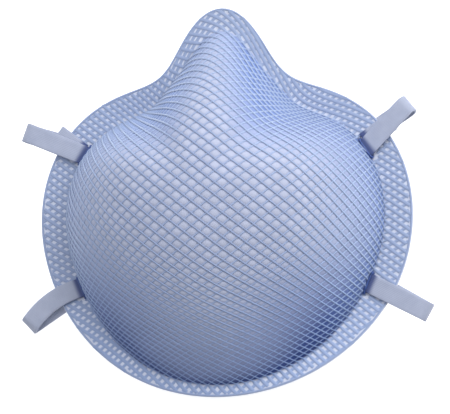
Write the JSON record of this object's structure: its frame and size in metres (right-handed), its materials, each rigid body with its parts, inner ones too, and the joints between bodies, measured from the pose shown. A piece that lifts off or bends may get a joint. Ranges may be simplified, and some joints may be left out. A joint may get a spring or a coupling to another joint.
{
  "type": "disposable dust mask",
  "caption": "Moulded cup dust mask with a blue net outer shell, layered filter, welded rim flange, foam nose cushion and elastic headbands stowed inside the cup.",
  "frame": {"origin": "middle of the mask's outline in plan, on the surface that it lies on dome up", "axes": "+Z points forward, out of the dome and away from the wearer's face; +Y points to the nose; +X is the right-hand side seen from the front"},
  "size_m": [0.1524, 0.1413, 0.048],
  "materials": {
    "net_shell": "moulded plastic net, satin, slightly see-through",
    "cover_web": "white point-bonded nonwoven",
    "filter_media": "white melt-blown fibre web",
    "lining": "soft white nonwoven",
    "foam": "open foam",
    "strap": "flat stretch elastic, matt"
  },
  "bodies": {
    "mask": {"outer_net_shell": "net_shell", "cover_web": "cover_web", "filter_outer_ply": "filter_media", "filter_inner_ply": "filter_media", "soft_lining": "lining", "nose_cushion": "foam", "upper_left_strap_end": "strap", "upper_right_strap_end": "strap", "lower_left_strap_end": "strap", "lower_right_strap_end": "strap", "upper_left_strap_tail": "strap", "upper_right_strap_tail": "strap"},
    "upper_band": {"upper_headband": "strap"},
    "lower_band": {"lower_headband": "strap"}
  },
  "joints": [
    {"name": "upper_headband_swing", "type": "hinge", "parent": "mask", "child": "upper_band", "pos_m": [0, 0.01785, 0.0004], "axis": [1, 0, 0], "range_deg": [0, 235]},
    {"name": "lower_headband_swing", "type": "hinge", "parent": "mask", "child": "lower_band", "pos_m": [0, -0.02215, 0.0004], "axis": [-1, 0, 0], "range_deg": [0, 215]}
  ]
}
